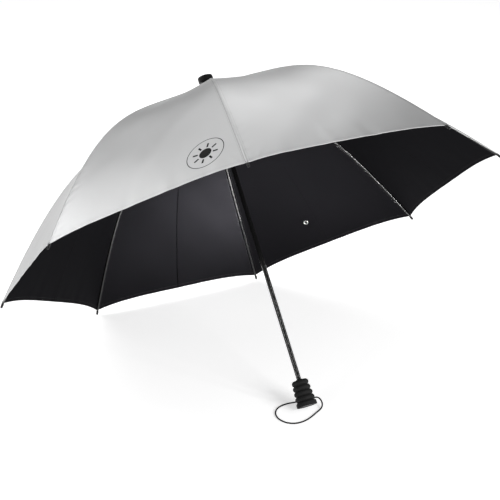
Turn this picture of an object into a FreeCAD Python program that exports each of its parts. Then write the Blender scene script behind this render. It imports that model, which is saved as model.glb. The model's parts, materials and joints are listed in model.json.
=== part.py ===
import FreeCAD, Part
import math
import os

from FreeCAD import Vector

# Trekking umbrella, open and laid down on its side: it rests on two neighbouring
# rib tips and on the rim of its grip. Lengths in millimetres.
#
# Every piece is drawn in the umbrella's own frame, where +Z runs up the shaft to
# the crown and z = 0 is the plane of the canopy's corners. place() then leans it over.

RIBS = 8
FIRST_RIB_DEG = 22.5

# Rib curve from crown hinge to tip, as a cubic Bezier in (radius, height).
RIB_CURVE = [(9.0, 289.9), (209.8, 222.8), (262.0, 269.3), (485.7, -7.0)]
RIB_R = 1.5
RIB_SPLIT = 0.3938
HINGE_R = 9.0

# Fold: where the stretcher's pin sits, back from the split and below the rib.
PIVOT_BACK = 7.0
PIVOT_DROP = 4.2
STRETCHER_R = 1.3

# Eyes, lugs and forks of the linkage.
EYE_R = 2.4
EYE_HOLE_R = 0.62
PLATE = 1.6
WIRE_R = 0.5
PIN_R = 0.75
PIN_HOLE_R = 0.81
FORK_R = 2.2
FORK_GAP = 0.25
CHEEK = 1.0
LUG_R = 2.6
ROD_START = 5.2

# Slotted hinge discs, which the crown notch and the runner share.
DISC_R = 12.0
DISC_HALF = 3.4
SLOT_FLOOR_R = 6.3
SLOT_W = 2.0
GROOVE_R = 0.56

# Shaft, crown cap, runner and spring catches.
SHAFT_R = 4.3
SHAFT_BORE_R = 3.5
SHAFT_TOP = 305.0
SHAFT_BOTTOM = -334.0
CAP_R = 14.5
CAP_NECK_R = 8.5
CAP_BOTTOM = 293.5
CAP_SIDE_BOTTOM = 298.2
CAP_SIDE_TOP = 306.4
DOME_R = 12.3
DOME_FOOT = 309.3
CAP_TOP = 311.5
RUNNER_BORE_R = 4.38
RUNNER_R = 7.0
RUNNER_COLLAR_R = 8.6
RUNNER_DROP = 28.0
KEYWAY_R = 6.0
KEYWAY_W = 3.0
CATCH_W = 2.4
CATCH_LEN = 8.0
CATCH_NOSE_R = 5.7
CATCH_FOOT_R = 0.5

# Grip: a foam sleeve with five rings on a moulded core. The umbrella rests on its foot.
GRIP_TOP = -294.5
GRIP_BOTTOM = -343.5
GRIP_RINGS = 5
GRIP_TOP_R = 15.6
GRIP_BOTTOM_R = 19.0
GROOVE_DEPTH = 3.4
GRIP_FOOT_R = 18.2
CORE_R = 6.4
CORE_FOOT_R = 12.0

# Canopy: fabric stands this far above the rib's centreline.
FABRIC_IN = 1.9
FABRIC_OUT = 2.7
SEAM_GAP = 0.5
PANEL_SAG = 5.3
CROWN_START = 7.0
TIP_REACH = 9.0
SCALLOP = 11.6

# Rib tip: a sleeve over the rib's end with a small ball.
TIP_R = 2.1
TIP_BORE_R = 1.6
TIP_LEN = 8.6
BALL_R = 2.3

# Press stud on the inside of the panel between the first and second rib.
STUD_R = 5.0
STUD_T = 2.2
STUD_RIB = 2
STUD_ALONG = 0.8515
STUD_ACROSS = 0.86

# Wrist cord, laid on the surface that the umbrella lies on.
CORD_R = 1.4
CORD_ROUTE = [
    (11.5, -205.3, 21.3),
    (18.6, -204.8, 21.4),
    (25.2, -204.3, 19.6),
    (30.2, -204.5, 15.4),
    (32.8, -206.5, 10.0),
    (32.2, -210.5, 5.4),
    (28.2, -214.9, 2.6),
    (21.2, -219.5, 1.5),
    (10.6, -225.3, 1.5),
    (-1.4, -232.7, 1.5),
    (-15.0, -239.5, 1.5),
    (-29.6, -242.9, 1.5),
    (-43.8, -240.7, 1.5),
    (-54.6, -230.9, 1.5),
    (-59.6, -215.9, 1.5),
    (-58.8, -200.5, 1.5),
    (-52.4, -186.5, 1.5),
    (-42.4, -176.7, 1.5),
    (-31.8, -173.5, 2.5),
    (-22.4, -177.3, 5.6),
    (-15.6, -185.7, 10.0),
    (-8.8, -195.9, 15.2),
]

Z = Vector(0, 0, 1)


def bezier(t):
    """Point of the rib curve and its unit direction, in (radius, height)."""
    a, b, c, d = RIB_CURVE
    s = 1 - t
    point = [
        s**3 * a[i] + 3 * s * s * t * b[i] + 3 * s * t * t * c[i] + t**3 * d[i]
        for i in (0, 1)
    ]
    slope = [
        3 * s * s * (b[i] - a[i]) + 6 * s * t * (c[i] - b[i]) + 3 * t * t * (d[i] - c[i])
        for i in (0, 1)
    ]
    size = math.hypot(*slope)
    return point, (slope[0] / size, slope[1] / size)


STEPS = 4000
SAMPLES = [bezier(i / STEPS) for i in range(STEPS + 1)]
ARC = [0.0]
for before, after in zip(SAMPLES, SAMPLES[1:]):
    ARC.append(ARC[-1] + math.dist(before[0], after[0]))
RIB_LENGTH = ARC[-1]


def rib_at(length):
    """Point and direction of the rib curve at a length along it."""
    low, high = 0, STEPS
    while high - low > 1:
        mid = (low + high) // 2
        if ARC[mid] <= length:
            low = mid
        else:
            high = mid
    part = (length - ARC[low]) / (ARC[high] - ARC[low])
    return bezier((low + part) / STEPS)


def above(length, height):
    """Point at a height square to the rib curve, positive on the fabric's side."""
    (r, z), (dr, dz) = rib_at(length)
    return r - dz * height, z + dr * height


SPLIT = RIB_SPLIT * RIB_LENGTH
PIVOT = above(SPLIT - PIVOT_BACK, -PIVOT_DROP)
CROWN_Z = RIB_CURVE[0][1]
LINK = math.hypot(PIVOT[0] - HINGE_R, PIVOT[1] - CROWN_Z)
RUNNER_Z = 2 * PIVOT[1] - CROWN_Z
OPEN_DEG = math.degrees(math.atan2(CROWN_Z - PIVOT[1], PIVOT[0] - HINGE_R))
CLOSED_DEG = 87.0
FOLD_DEG = round(CLOSED_DEG - OPEN_DEG, 1)
CLOSED_RUNNER_Z = CROWN_Z - 2 * LINK * math.sin(math.radians(OPEN_DEG + FOLD_DEG))


def flat(point, across=0.0):
    """A rib-plane point as a vector, with the rib plane as XZ."""
    return Vector(point[0], across, point[1])


def cylinder(radius, start, end):
    """Solid cylinder between two points."""
    return Part.makeCylinder(radius, (end - start).Length, start, end - start)


def box(x, y, z):
    """Box from three (low, high) pairs."""
    size = [high - low for low, high in (x, y, z)]
    return Part.makeBox(*size, Vector(x[0], y[0], z[0]))


def turned(profile):
    """Solid of revolution about Z from (radius, height) points."""
    points = [Vector(r, 0, z) for r, z in profile]
    face = Part.Face(Part.makePolygon(points + points[:1]))
    return face.revolve(Vector(0, 0, 0), Z, 360)


def plate(centre, radius):
    """Disc as thick as an eye or lug, in the rib plane."""
    start = flat(centre, -PLATE / 2)
    return Part.makeCylinder(radius, PLATE, start, Vector(0, 1, 0))


def cross_pin(centre, radius, width):
    """Cylinder across the rib plane."""
    return Part.makeCylinder(radius, width, flat(centre, -width / 2), Vector(0, 1, 0))


def bar(start, end, half, thickness):
    """Flat bar in the rib plane from start to end, with square ends."""
    a, b = flat(start), flat(end)
    along = (b - a).normalize()
    side = along.cross(Vector(0, 1, 0)) * half
    low = Vector(0, -thickness / 2, 0)
    corners = [a + side + low, b + side + low, b - side + low, a - side + low]
    face = Part.Face(Part.makePolygon(corners + corners[:1]))
    return face.extrude(Vector(0, thickness, 0))


def biarc(p, u, q, v):
    """Two tangent arcs from p along u to q along v, all in the rib plane."""
    w = q - p
    k = 2 * (1 - u.dot(v))
    b = 2 * w.dot(u + v)
    if abs(k) < 1e-9:
        d = w.dot(w) / (4 * w.dot(v))
    else:
        d = (-b + math.sqrt(b * b + 4 * k * w.dot(w))) / (2 * k)
    join = (p + q + (u - v) * d) * 0.5
    return [arc_edge(p, u, join), arc_edge(join, None, q, v)]


def arc_edge(p, u, q, v=None):
    """Arc from p to q that leaves along u, or that arrives along v."""
    half = (q - p).Length / 2
    chord = (q - p).normalize()
    heading = v if u is None else u
    bulge = heading - chord * chord.dot(heading)
    if bulge.Length < 1e-6:
        return Part.makeLine(p, q)
    turn = math.atan2(bulge.Length, chord.dot(heading))
    bulge.normalize()
    sign = -1 if u is None else 1
    middle = (p + q) * 0.5 + bulge * (sign * half * math.tan(turn / 2))
    return Part.Arc(p, middle, q).toShape()


def rod(start, end, count, radius):
    """Round rod along the rib curve between two lengths."""
    edges = []
    for i in range(count):
        a = start + (end - start) * i / count
        b = start + (end - start) * (i + 1) / count
        (pa, ua), (pb, ub) = rib_at(a), rib_at(b)
        edges += biarc(flat(pa), flat(ua), flat(pb), flat(ub))
    path = Part.Wire(edges)
    point, direction = rib_at(start)
    ring = Part.makeCircle(radius, flat(point), flat(direction))
    return path.makePipe(Part.Face(Part.Wire(ring)))


def disc_slots(z):
    """Eight slots for the eyes of a slotted hinge disc centred on height z."""
    cut = box((SLOT_FLOOR_R, DISC_R + 2), (-SLOT_W / 2, SLOT_W / 2), (z - 4, z + 4))
    cuts = []
    for k in range(RIBS):
        one = cut.copy()
        one.rotate(Vector(0, 0, 0), Z, rib_angle(k))
        cuts.append(one)
    return cuts


def wire_groove(z, opening):
    """Groove for a hinge wire at height z, open up (opening > 0) or down."""
    low, high = (z, z + 4) if opening > 0 else (z - 4, z)
    outer = Part.makeCylinder(HINGE_R + GROOVE_R, high - low, Vector(0, 0, low))
    inner = Part.makeCylinder(HINGE_R - GROOVE_R, high - low, Vector(0, 0, low))
    ring = Part.makeTorus(HINGE_R, GROOVE_R, Vector(0, 0, z))
    return [outer.cut(inner), ring]


def rib_angle(k):
    """Angle of rib k, counted from 0, in degrees from +X."""
    return FIRST_RIB_DEG + 360.0 * k / RIBS


def to_rib(shape, k):
    """Shape drawn in the XZ plane, turned to rib k."""
    copy = shape.copy()
    copy.rotate(Vector(0, 0, 0), Z, rib_angle(k))
    return copy


def make_shaft():
    """Drawn tube with a window for each spring catch."""
    length = SHAFT_TOP - SHAFT_BOTTOM
    tube = Part.makeCylinder(SHAFT_R, length, Vector(0, 0, SHAFT_BOTTOM))
    tube = tube.cut(Part.makeCylinder(SHAFT_BORE_R, length, Vector(0, 0, SHAFT_BOTTOM)))
    half = CATCH_W / 2 + 0.15
    for low in (OPEN_CATCH_TOP - CATCH_LEN, CLOSED_CATCH_BOTTOM):
        window = box((-half, half), (1.0, SHAFT_R + 1), (low - 0.3, low + CATCH_LEN + 0.3))
        tube = tube.cut(window)
    return tube


def make_cap():
    """Domed end cap with a neck that clamps the crown of the canopy."""
    start = Vector(0, 0, CAP_BOTTOM)
    profile = [
        Vector(0, 0, CAP_BOTTOM),
        Vector(CAP_NECK_R, 0, CAP_BOTTOM),
        Vector(CAP_NECK_R, 0, CAP_SIDE_BOTTOM),
        Vector(CAP_R - 0.8, 0, CAP_SIDE_BOTTOM),
        Vector(CAP_R, 0, CAP_SIDE_BOTTOM + 0.8),
        Vector(CAP_R, 0, CAP_SIDE_TOP),
    ]
    edges = [Part.makeLine(a, b) for a, b in zip(profile, profile[1:])]
    height = CAP_TOP - DOME_FOOT
    dome_r = (DOME_R**2 + height**2) / (2 * height)
    foot = Vector(DOME_R, 0, DOME_FOOT)
    shoulder = Vector((CAP_R + DOME_R) / 2 + 0.45, 0, (CAP_SIDE_TOP + DOME_FOOT) / 2 + 0.45)
    edges.append(Part.Arc(profile[-1], shoulder, foot).toShape())
    top = Vector(0, 0, CAP_TOP)
    half = math.asin(DOME_R / dome_r) / 2
    middle = Vector(dome_r * math.sin(half), 0, CAP_TOP - dome_r * (1 - math.cos(half)))
    edges.append(Part.Arc(foot, middle, top).toShape())
    edges.append(Part.makeLine(top, start))
    solid = Part.Face(Part.Wire(edges)).revolve(Vector(0, 0, 0), Z, 360)
    bore = Part.makeCylinder(SHAFT_R + 0.02, SHAFT_TOP + 0.2 - CAP_BOTTOM, start)
    return solid.cut(bore)


def make_notch():
    """Slotted disc at the crown that holds the inner ends of the ribs."""
    low = CROWN_Z - DISC_HALF
    disc = Part.makeCylinder(DISC_R, 2 * DISC_HALF, Vector(0, 0, low))
    bore = Part.makeCylinder(SHAFT_R + 0.02, 2 * DISC_HALF, Vector(0, 0, low))
    return disc.cut([bore, *disc_slots(CROWN_Z), *wire_groove(CROWN_Z, -1)])


def make_runner():
    """Sliding runner: slotted disc above a sleeve with a finger collar."""
    low = RUNNER_Z - RUNNER_DROP
    disc_low = RUNNER_Z - DISC_HALF
    disc_high = RUNNER_Z + DISC_HALF
    body = turned([
        (RUNNER_BORE_R, low),
        (RUNNER_COLLAR_R - 0.8, low),
        (RUNNER_COLLAR_R, low + 0.8),
        (RUNNER_COLLAR_R, low + 4.2),
        (RUNNER_R, low + 6.4),
        (RUNNER_R, disc_low - 1.2),
        (RUNNER_R + 1.2, disc_low),
        (DISC_R, disc_low),
        (DISC_R, disc_high),
        (RUNNER_BORE_R, disc_high),
    ])
    half = KEYWAY_W / 2
    keyway = box((-half, half), (0.0, KEYWAY_R), (low - 1, disc_high + 1))
    return body.cut([keyway, *disc_slots(RUNNER_Z), *wire_groove(RUNNER_Z, 1)])


def make_wire(z):
    """Hinge wire ring at height z."""
    return Part.makeTorus(HINGE_R, WIRE_R, Vector(0, 0, z))


def make_catch(stop, away):
    """Spring catch whose flat face is at height stop and whose ramp runs off by away."""
    outline = [
        (CATCH_FOOT_R, stop),
        (CATCH_NOSE_R, stop),
        (CATCH_NOSE_R, stop + away * 2.5),
        (SHAFT_R - 0.4, stop + away * CATCH_LEN),
        (CATCH_FOOT_R, stop + away * CATCH_LEN),
    ]
    points = [Vector(-CATCH_W / 2, y, z) for y, z in outline]
    face = Part.Face(Part.makePolygon(points + points[:1]))
    return face.extrude(Vector(CATCH_W, 0, 0))


def grip_edges():
    """Ringed outline of the grip from its top edge to its foot."""
    pitch = (GRIP_TOP - GRIP_BOTTOM) / GRIP_RINGS
    edges = []
    start = Vector(GRIP_TOP_R - GROOVE_DEPTH, 0, GRIP_TOP)
    for i in range(GRIP_RINGS - 1):
        peak = GRIP_TOP_R + (GRIP_BOTTOM_R - GRIP_TOP_R) * i / (GRIP_RINGS - 1)
        end = Vector(peak - GROOVE_DEPTH + 0.6, 0, GRIP_TOP - (i + 1) * pitch)
        middle = Vector(peak, 0, GRIP_TOP - (i + 0.5) * pitch)
        edges.append(Part.Arc(start, middle, end).toShape())
        start = end
    shoulder = Vector(GRIP_BOTTOM_R, 0, GRIP_BOTTOM + 4.4)
    middle = Vector(GRIP_BOTTOM_R - 1.0, 0, GRIP_BOTTOM + 7.4)
    rim = Vector(GRIP_BOTTOM_R, 0, GRIP_BOTTOM + 0.8)
    foot = Vector(GRIP_FOOT_R, 0, GRIP_BOTTOM)
    edges.append(Part.Arc(start, middle, shoulder).toShape())
    edges.append(Part.makeLine(shoulder, rim))
    edges.append(Part.makeLine(rim, foot))
    return edges


def make_grip():
    """Foam sleeve with five rings and a recess for the core's foot."""
    edges = grip_edges()
    start = edges[0].Vertexes[0].Point
    foot = Vector(GRIP_FOOT_R, 0, GRIP_BOTTOM)
    bore = CORE_R + 0.05
    recess = CORE_FOOT_R + 0.05
    inside = [
        foot,
        Vector(recess, 0, GRIP_BOTTOM),
        Vector(recess, 0, GRIP_BOTTOM + 4.05),
        Vector(bore, 0, GRIP_BOTTOM + 4.05),
        Vector(bore, 0, GRIP_TOP),
        start,
    ]
    edges += [Part.makeLine(a, b) for a, b in zip(inside, inside[1:])]
    return Part.Face(Part.Wire(edges)).revolve(Vector(0, 0, 0), Z, 360)


def make_core():
    """Moulded core that joins the shaft to the foam."""
    foot = GRIP_BOTTOM + 0.6
    bore = SHAFT_R + 0.02
    return turned([
        (0.0, foot),
        (CORE_FOOT_R, foot),
        (CORE_FOOT_R, foot + 3.4),
        (CORE_R, foot + 3.4),
        (CORE_R, GRIP_TOP + 1.0),
        (bore, GRIP_TOP + 2.2),
        (bore, SHAFT_BOTTOM - 0.05),
        (0.0, SHAFT_BOTTOM - 0.05),
    ])


def make_rib_inner():
    """Inner half of a rib: eye at the crown, rod, and the lug for its stretcher."""
    crown = (HINGE_R, CROWN_Z)
    rod_foot = rib_at(ROD_START + 2.0)[0]
    neck = bar(crown, rod_foot, 1.3, PLATE)
    body = rod(ROD_START, SPLIT - 1.9, 2, RIB_R)
    over = rib_at(SPLIT - PIVOT_BACK)[0]
    lug = bar(over, PIVOT, LUG_R, PLATE)
    solid = body.fuse([plate(crown, EYE_R), neck, lug, plate(PIVOT, LUG_R)])
    solid = solid.cut([cross_pin(crown, EYE_HOLE_R, 4), cross_pin(PIVOT, PIN_HOLE_R, 4)])
    return solid.removeSplitter()


def make_rib_outer():
    """Outer half of a rib, from its rounded inner end to just short of the tip's ball."""
    body = rod(SPLIT, RIB_LENGTH - 4.5, 3, RIB_R)
    ball = Part.makeSphere(RIB_R, flat(rib_at(SPLIT)[0]))
    return body.fuse(ball).removeSplitter()


def make_tip():
    """Sleeve with a ball, pushed over the end of a rib."""
    end = rib_at(RIB_LENGTH)[0]
    direction = flat(rib_at(RIB_LENGTH - TIP_LEN / 2)[1]).normalize()
    tip = flat(end)
    centre = tip - direction * BALL_R
    start = tip - direction * TIP_LEN
    sleeve = cylinder(TIP_R, start, centre)
    bore = cylinder(TIP_BORE_R, start, tip - direction * 4.2)
    return sleeve.fuse(Part.makeSphere(BALL_R, centre)).cut(bore).removeSplitter()


def make_stretcher():
    """Strut from the runner's wire to the lug of a rib, with its pin."""
    runner = (HINGE_R, RUNNER_Z)
    reach = (PIVOT[0] - runner[0], PIVOT[1] - runner[1])
    along = (reach[0] / LINK, reach[1] / LINK)

    def at(length):
        return runner[0] + along[0] * length, runner[1] + along[1] * length

    neck = bar(runner, at(ROD_START + 2.0), 1.1, PLATE)
    body = cylinder(STRETCHER_R, flat(at(ROD_START)), flat(at(LINK - 4.5)))
    width = PLATE + 2 * (FORK_GAP + CHEEK)
    block = bar(at(LINK - 7.5), at(LINK - 3.5), 1.3, width)
    fork = bar(at(LINK - 4.5), PIVOT, 1.3, width).fuse(cross_pin(PIVOT, FORK_R, width))
    slot_half = PLATE / 2 + FORK_GAP
    opening = box((-9, 9), (-slot_half, slot_half), (-9, 9))
    opening.rotate(Vector(0, 0, 0), Vector(0, 1, 0), -math.degrees(math.atan2(along[1], along[0])))
    opening.translate(flat(at(LINK - 3.5 + 9)))
    fork = fork.cut(opening)
    pin = cross_pin(PIVOT, PIN_R, width)
    solid = body.fuse([plate(runner, EYE_R), neck, block, fork, pin])
    return solid.cut(cross_pin(runner, EYE_HOLE_R, 4)).removeSplitter()


def fabric_point(length, across, height):
    """Point of a gore: across runs from -1 to 1 between its two seams."""
    (r, z), (dr, dz) = rib_at(length)
    half = math.radians(180.0 / RIBS)
    side = math.copysign(1.0, across)
    share = abs(across) * (1 - SEAM_GAP / 2 / (r * math.sin(half)))
    x = r * (1 - share * math.sin(half) ** 2)
    y = side * share * r * math.sin(half) * math.cos(half)
    if across == 0:
        normal = Vector(-dz, 0, dr)
    else:
        normal = Vector(-dz * math.cos(half), -dz * side * math.sin(half), dr * math.cos(half))
    normal.normalize()
    sag = PANEL_SAG * math.sin(math.pi * math.sqrt(length / RIB_LENGTH))
    sag *= 1 - (1 - abs(across)) ** 2
    return Vector(x, y, z) + normal * (height - sag)


def triangle(a, b, c):
    """Flat three-cornered face."""
    return Part.Face(Part.makePolygon([a, b, c, a]))


def make_gore(start, ends, count):
    """Closed thin solid of fabric over one rib; ends holds the length at each line across."""
    lines = len(ends)
    grids = []
    for height in (FABRIC_IN, FABRIC_OUT):
        grid = []
        for i in range(count + 1):
            row = []
            for j, end in enumerate(ends):
                across = -1 + 2 * j / (lines - 1)
                row.append(fabric_point(start + (end - start) * i / count, across, height))
            grid.append(row)
        grids.append(grid)
    inner, outer = grids
    faces = []
    for i in range(count):
        for j in range(lines - 1):
            for g in grids:
                faces.append(triangle(g[i][j], g[i + 1][j], g[i + 1][j + 1]))
                faces.append(triangle(g[i][j], g[i + 1][j + 1], g[i][j + 1]))
    borders = [
        [(i, 0) for i in range(count + 1)],
        [(i, lines - 1) for i in range(count + 1)],
        [(0, j) for j in range(lines)],
        [(count, j) for j in range(lines)],
    ]
    for border in borders:
        for (i, j), (m, n) in zip(border, border[1:]):
            faces.append(triangle(inner[i][j], inner[m][n], outer[m][n]))
            faces.append(triangle(inner[i][j], outer[m][n], outer[i][j]))
    shell = Part.makeShell(faces)
    shell.sewShape()
    solid = Part.Solid(shell)
    if solid.Volume < 0:
        solid.reverse()
    return solid


def make_canopy_inner():
    """Fabric over the inner half of a rib."""
    return make_gore(CROWN_START, [SPLIT - SEAM_GAP / 2] * 5, 7)


def make_canopy_outer():
    """Fabric over the outer half of a rib, with the hollow curve of the rim."""
    ends = []
    for j in range(9):
        from_seam = abs(-1 + j / 4)
        hollow = SCALLOP * (1 - (1 - from_seam) ** 4)
        ends.append(RIB_LENGTH - TIP_REACH - hollow)
    return make_gore(SPLIT + SEAM_GAP / 2, ends, 11)


def make_stud():
    """Press stud of the closing strap, just inside the fabric."""
    length = STUD_ALONG * RIB_LENGTH
    base = fabric_point(length, -STUD_ACROSS, FABRIC_IN - 0.35)
    end = fabric_point(length, -STUD_ACROSS, FABRIC_IN - 0.35 - STUD_T)
    return cylinder(STUD_R, base, end)


def make_cord():
    """Wrist cord of straight runs joined by tangent arcs: its solid, radii and length."""
    route = [Vector(*p) for p in CORD_ROUTE]
    edges = []
    radii = []
    length = 0.0
    last = route[0]
    for before, corner, after in zip(route, route[1:], route[2:]):
        back = before - corner
        ahead = after - corner
        shorter = min(back.Length, ahead.Length)
        back.normalize()
        ahead.normalize()
        half_turn = (math.pi - back.getAngle(ahead)) / 2
        trim = 0.45 * shorter
        radii.append(trim / math.tan(half_turn))
        start = corner + back * trim
        end = corner + ahead * trim
        bisector = (back + ahead).normalize()
        middle = corner + bisector * (radii[-1] * (1 / math.cos(half_turn) - 1))
        edges.append(Part.makeLine(last, start))
        edges.append(Part.Arc(start, middle, end).toShape())
        length += (start - last).Length + 2 * half_turn * radii[-1]
        last = end
    edges.append(Part.makeLine(last, route[-1]))
    length += (route[-1] - last).Length
    ring = Part.makeCircle(CORD_R, route[0], route[1] - route[0])
    solid = Part.Wire(edges).makePipe(Part.Face(Part.Wire(ring)))
    return solid, radii, length


def lean():
    """Angle and lift that set two rib tips and the grip's foot on the floor."""
    centre = rib_at(RIB_LENGTH - BALL_R)[0]
    tip_y = centre[0] * math.cos(math.radians(180.0 / RIBS))
    rise = centre[1] - GRIP_BOTTOM
    run = GRIP_FOOT_R - tip_y
    angle = math.atan2(run, rise) + math.acos(BALL_R / math.hypot(rise, run))
    foot = -math.sin(angle) * GRIP_FOOT_R + math.cos(angle) * GRIP_BOTTOM
    return math.degrees(angle), -foot


OPEN_CATCH_TOP = RUNNER_Z - RUNNER_DROP - 0.4
CLOSED_CATCH_BOTTOM = CLOSED_RUNNER_Z + DISC_HALF + 0.4
LEAN_DEG, LIFT = lean()


def all_pieces():
    """Every piece but the cord, in the umbrella's own frame."""
    pieces = {
        "shaft": make_shaft(),
        "end_cap": make_cap(),
        "crown_notch": make_notch(),
        "notch_wire": make_wire(CROWN_Z),
        "foam_grip": make_grip(),
        "grip_core": make_core(),
        "open_catch": make_catch(OPEN_CATCH_TOP, -1),
        "closed_catch": make_catch(CLOSED_CATCH_BOTTOM, 1),
        "runner": make_runner(),
        "runner_wire": make_wire(RUNNER_Z),
        "press_stud": to_rib(make_stud(), STUD_RIB - 1),
    }
    repeated = {
        "rib_inner": make_rib_inner(),
        "rib_outer": make_rib_outer(),
        "rib_tip": make_tip(),
        "stretcher": make_stretcher(),
        "canopy_inner": make_canopy_inner(),
        "canopy_outer": make_canopy_outer(),
    }
    for name, shape in repeated.items():
        for k in range(RIBS):
            pieces[f"{name}_{k + 1}"] = to_rib(shape, k)
    return pieces


def place(pieces):
    """Lean the pieces over and centre them on the origin. Returns the shift along Y."""
    low, high = [], []
    for shape in pieces.values():
        shape.rotate(Vector(0, 0, 0), Vector(1, 0, 0), -LEAN_DEG)
        shape.translate(Vector(0, 0, LIFT))
        low.append(shape.BoundBox.YMin)
        high.append(shape.BoundBox.YMax)
    shift = -(min(low) + max(high)) / 2
    for shape in pieces.values():
        shape.translate(Vector(0, shift, 0))
    return shift


def main():
    os.makedirs("parts", exist_ok=True)
    pieces = all_pieces()
    shift = place(pieces)
    cord, radii, length = make_cord()
    cord.translate(Vector(0, shift, 0))
    pieces["wrist_cord"] = cord
    for name, shape in pieces.items():
        shape.Solids[0].exportStep(f"parts/{name}.step")
    print("cord radii", [round(r, 1) for r in radii])
    print("cord length", round(length, 1))
    print("cord volume over section x length", cord.Volume / (math.pi * CORD_R**2 * length))
    print("lean", LEAN_DEG, "lift", LIFT, "shift", shift)


if __name__ == "__main__":
    main()
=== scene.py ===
"""Looks of a trekking umbrella that lies open on its side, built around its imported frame.

Shapes are drawn in the umbrella's own frame, as in its design: +Z up the shaft to the
crown, z = 0 in the plane of the canopy's corners. place() takes them into the row's frame.
Lengths are in metres.
"""

import json
import math

import bpy
import numpy as np
from mathutils import Euler, Matrix, Vector


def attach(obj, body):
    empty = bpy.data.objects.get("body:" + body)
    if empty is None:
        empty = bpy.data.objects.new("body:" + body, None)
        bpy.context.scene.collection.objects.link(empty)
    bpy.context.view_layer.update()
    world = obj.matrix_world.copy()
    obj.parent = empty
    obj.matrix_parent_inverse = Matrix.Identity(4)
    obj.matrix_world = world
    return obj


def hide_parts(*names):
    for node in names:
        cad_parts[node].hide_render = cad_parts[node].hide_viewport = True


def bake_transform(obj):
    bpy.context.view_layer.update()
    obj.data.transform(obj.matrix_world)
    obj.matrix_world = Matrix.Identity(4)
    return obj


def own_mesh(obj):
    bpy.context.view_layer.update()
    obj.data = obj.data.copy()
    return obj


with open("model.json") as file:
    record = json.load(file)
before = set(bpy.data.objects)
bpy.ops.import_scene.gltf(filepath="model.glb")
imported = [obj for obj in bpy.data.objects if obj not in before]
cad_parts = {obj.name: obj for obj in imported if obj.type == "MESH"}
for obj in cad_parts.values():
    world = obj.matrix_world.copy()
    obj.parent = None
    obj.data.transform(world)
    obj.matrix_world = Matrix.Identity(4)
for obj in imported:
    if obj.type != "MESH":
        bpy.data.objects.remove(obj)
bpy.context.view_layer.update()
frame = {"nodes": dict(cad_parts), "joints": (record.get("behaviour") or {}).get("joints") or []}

# ---------------------------------------------------------------- driving sizes

RIBS = 8
# Half the angle from one rib to the next.
HALF = math.pi / RIBS
COS_HALF = math.cos(HALF)
SIN_HALF = math.sin(HALF)
FIRST_RIB = math.radians(22.5)

# Control points of the rib's curve: distance from the shaft and height.
RIB_CURVE = np.array([(9.0, 289.9), (209.8, 222.8), (262.0, 269.3), (485.7, -7.0)]) / 1000
RIB_R = 0.0015
CROWN_Z = 0.2899

# Fabric: heights of its two faces above the rib's centreline.
FABRIC_IN = 0.0020
FABRIC_OUT = 0.00235
PANEL_SAG = 0.0053
CROWN_START = 0.007
TIP_REACH = 0.009
SCALLOP = 0.0116
HEM_W = 0.0085
HEM_T = 0.0006
SEAM_HALF = 0.0018
SEAM_T = 0.00035

# Sewing: rows of stitches beside each seam and on the hem, and the weave's thread pitch.
SEAM_ROW = 0.0046
HEM_ROW = 0.0070
STITCH_PITCH = 0.0026
STITCH_SHARE = 0.72
WEAVE_PITCH = 0.00034

# Black sleeve on the outer end of each rib, and the tip beyond it.
SLEEVE_START = 0.424
SLEEVE_R = 0.0018
TIP_LEN = 0.0086
TIP_R = 0.0021

# Foam grip: heights on the shaft, radii of its rings, and the bore and foot recess.
GRIP_TOP = -0.2945
GRIP_BOTTOM = -0.3435
GRIP_RINGS = 5
GRIP_TOP_R = 0.0156
GRIP_BOTTOM_R = 0.0190
GROOVE_DEPTH = 0.0034
GRIP_FOOT_R = 0.0182
GRIP_BORE = 0.00645
GRIP_RECESS = (0.01205, 0.00405)

CORD_D = 0.0028
# The cord's way out of the grip, over the floor and back, in millimetres on the floor,
# before the shift that puts the row in the middle.
CORD_ROUTE = [
    (11.5, -205.3, 21.3),
    (18.6, -204.8, 21.4),
    (25.2, -204.3, 19.6),
    (30.2, -204.5, 15.4),
    (32.8, -206.5, 10.0),
    (32.2, -210.5, 5.4),
    (28.2, -214.9, 2.6),
    (21.2, -219.5, 1.5),
    (10.6, -225.3, 1.5),
    (-1.4, -232.7, 1.5),
    (-15.0, -239.5, 1.5),
    (-29.6, -242.9, 1.5),
    (-43.8, -240.7, 1.5),
    (-54.6, -230.9, 1.5),
    (-59.6, -215.9, 1.5),
    (-58.8, -200.5, 1.5),
    (-52.4, -186.5, 1.5),
    (-42.4, -176.7, 1.5),
    (-31.8, -173.5, 2.5),
    (-22.4, -177.3, 5.6),
    (-15.6, -185.7, 10.0),
    (-8.8, -195.9, 15.2),
]
CORD_SHIFT_Y = 2.83748

# ---------------------------------------------------------------- umbrella frame

fold_joints = sorted(
    (j for j in frame["joints"] if j["name"].startswith("rib_fold_")),
    key=lambda j: j["name"],
)
hinges = [Vector(j["pos_m"]) for j in fold_joints]
hub = sum(hinges, Vector()) / RIBS
up = (hinges[0] - hub).cross(Vector(fold_joints[0]["axis"])).normalized()
side_x = Vector((1, 0, 0))
side_y = up.cross(side_x).normalized()
UMBRELLA_R = np.array([side_x, side_y, up]).T
UMBRELLA_T = np.array(hub - up * CROWN_Z)
UMBRELLA_EULER = Matrix(UMBRELLA_R.tolist()).transposed().to_euler()


def place(points):
    """Points of the umbrella's own frame in the row's frame."""
    return np.asarray(points, float) @ UMBRELLA_R.T + UMBRELLA_T


def turn(points, angle):
    """Points or directions turned about the shaft."""
    c, s = math.cos(angle), math.sin(angle)
    p = np.asarray(points, float)
    return np.stack([p[..., 0] * c - p[..., 1] * s, p[..., 0] * s + p[..., 1] * c, p[..., 2]], -1)


def rib_angle(k):
    """Angle of rib k, counted from 1."""
    return FIRST_RIB + 2 * HALF * (k - 1)


# ---------------------------------------------------------------- rib curve

CURVE_T = np.linspace(0, 1, 4001)


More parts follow.
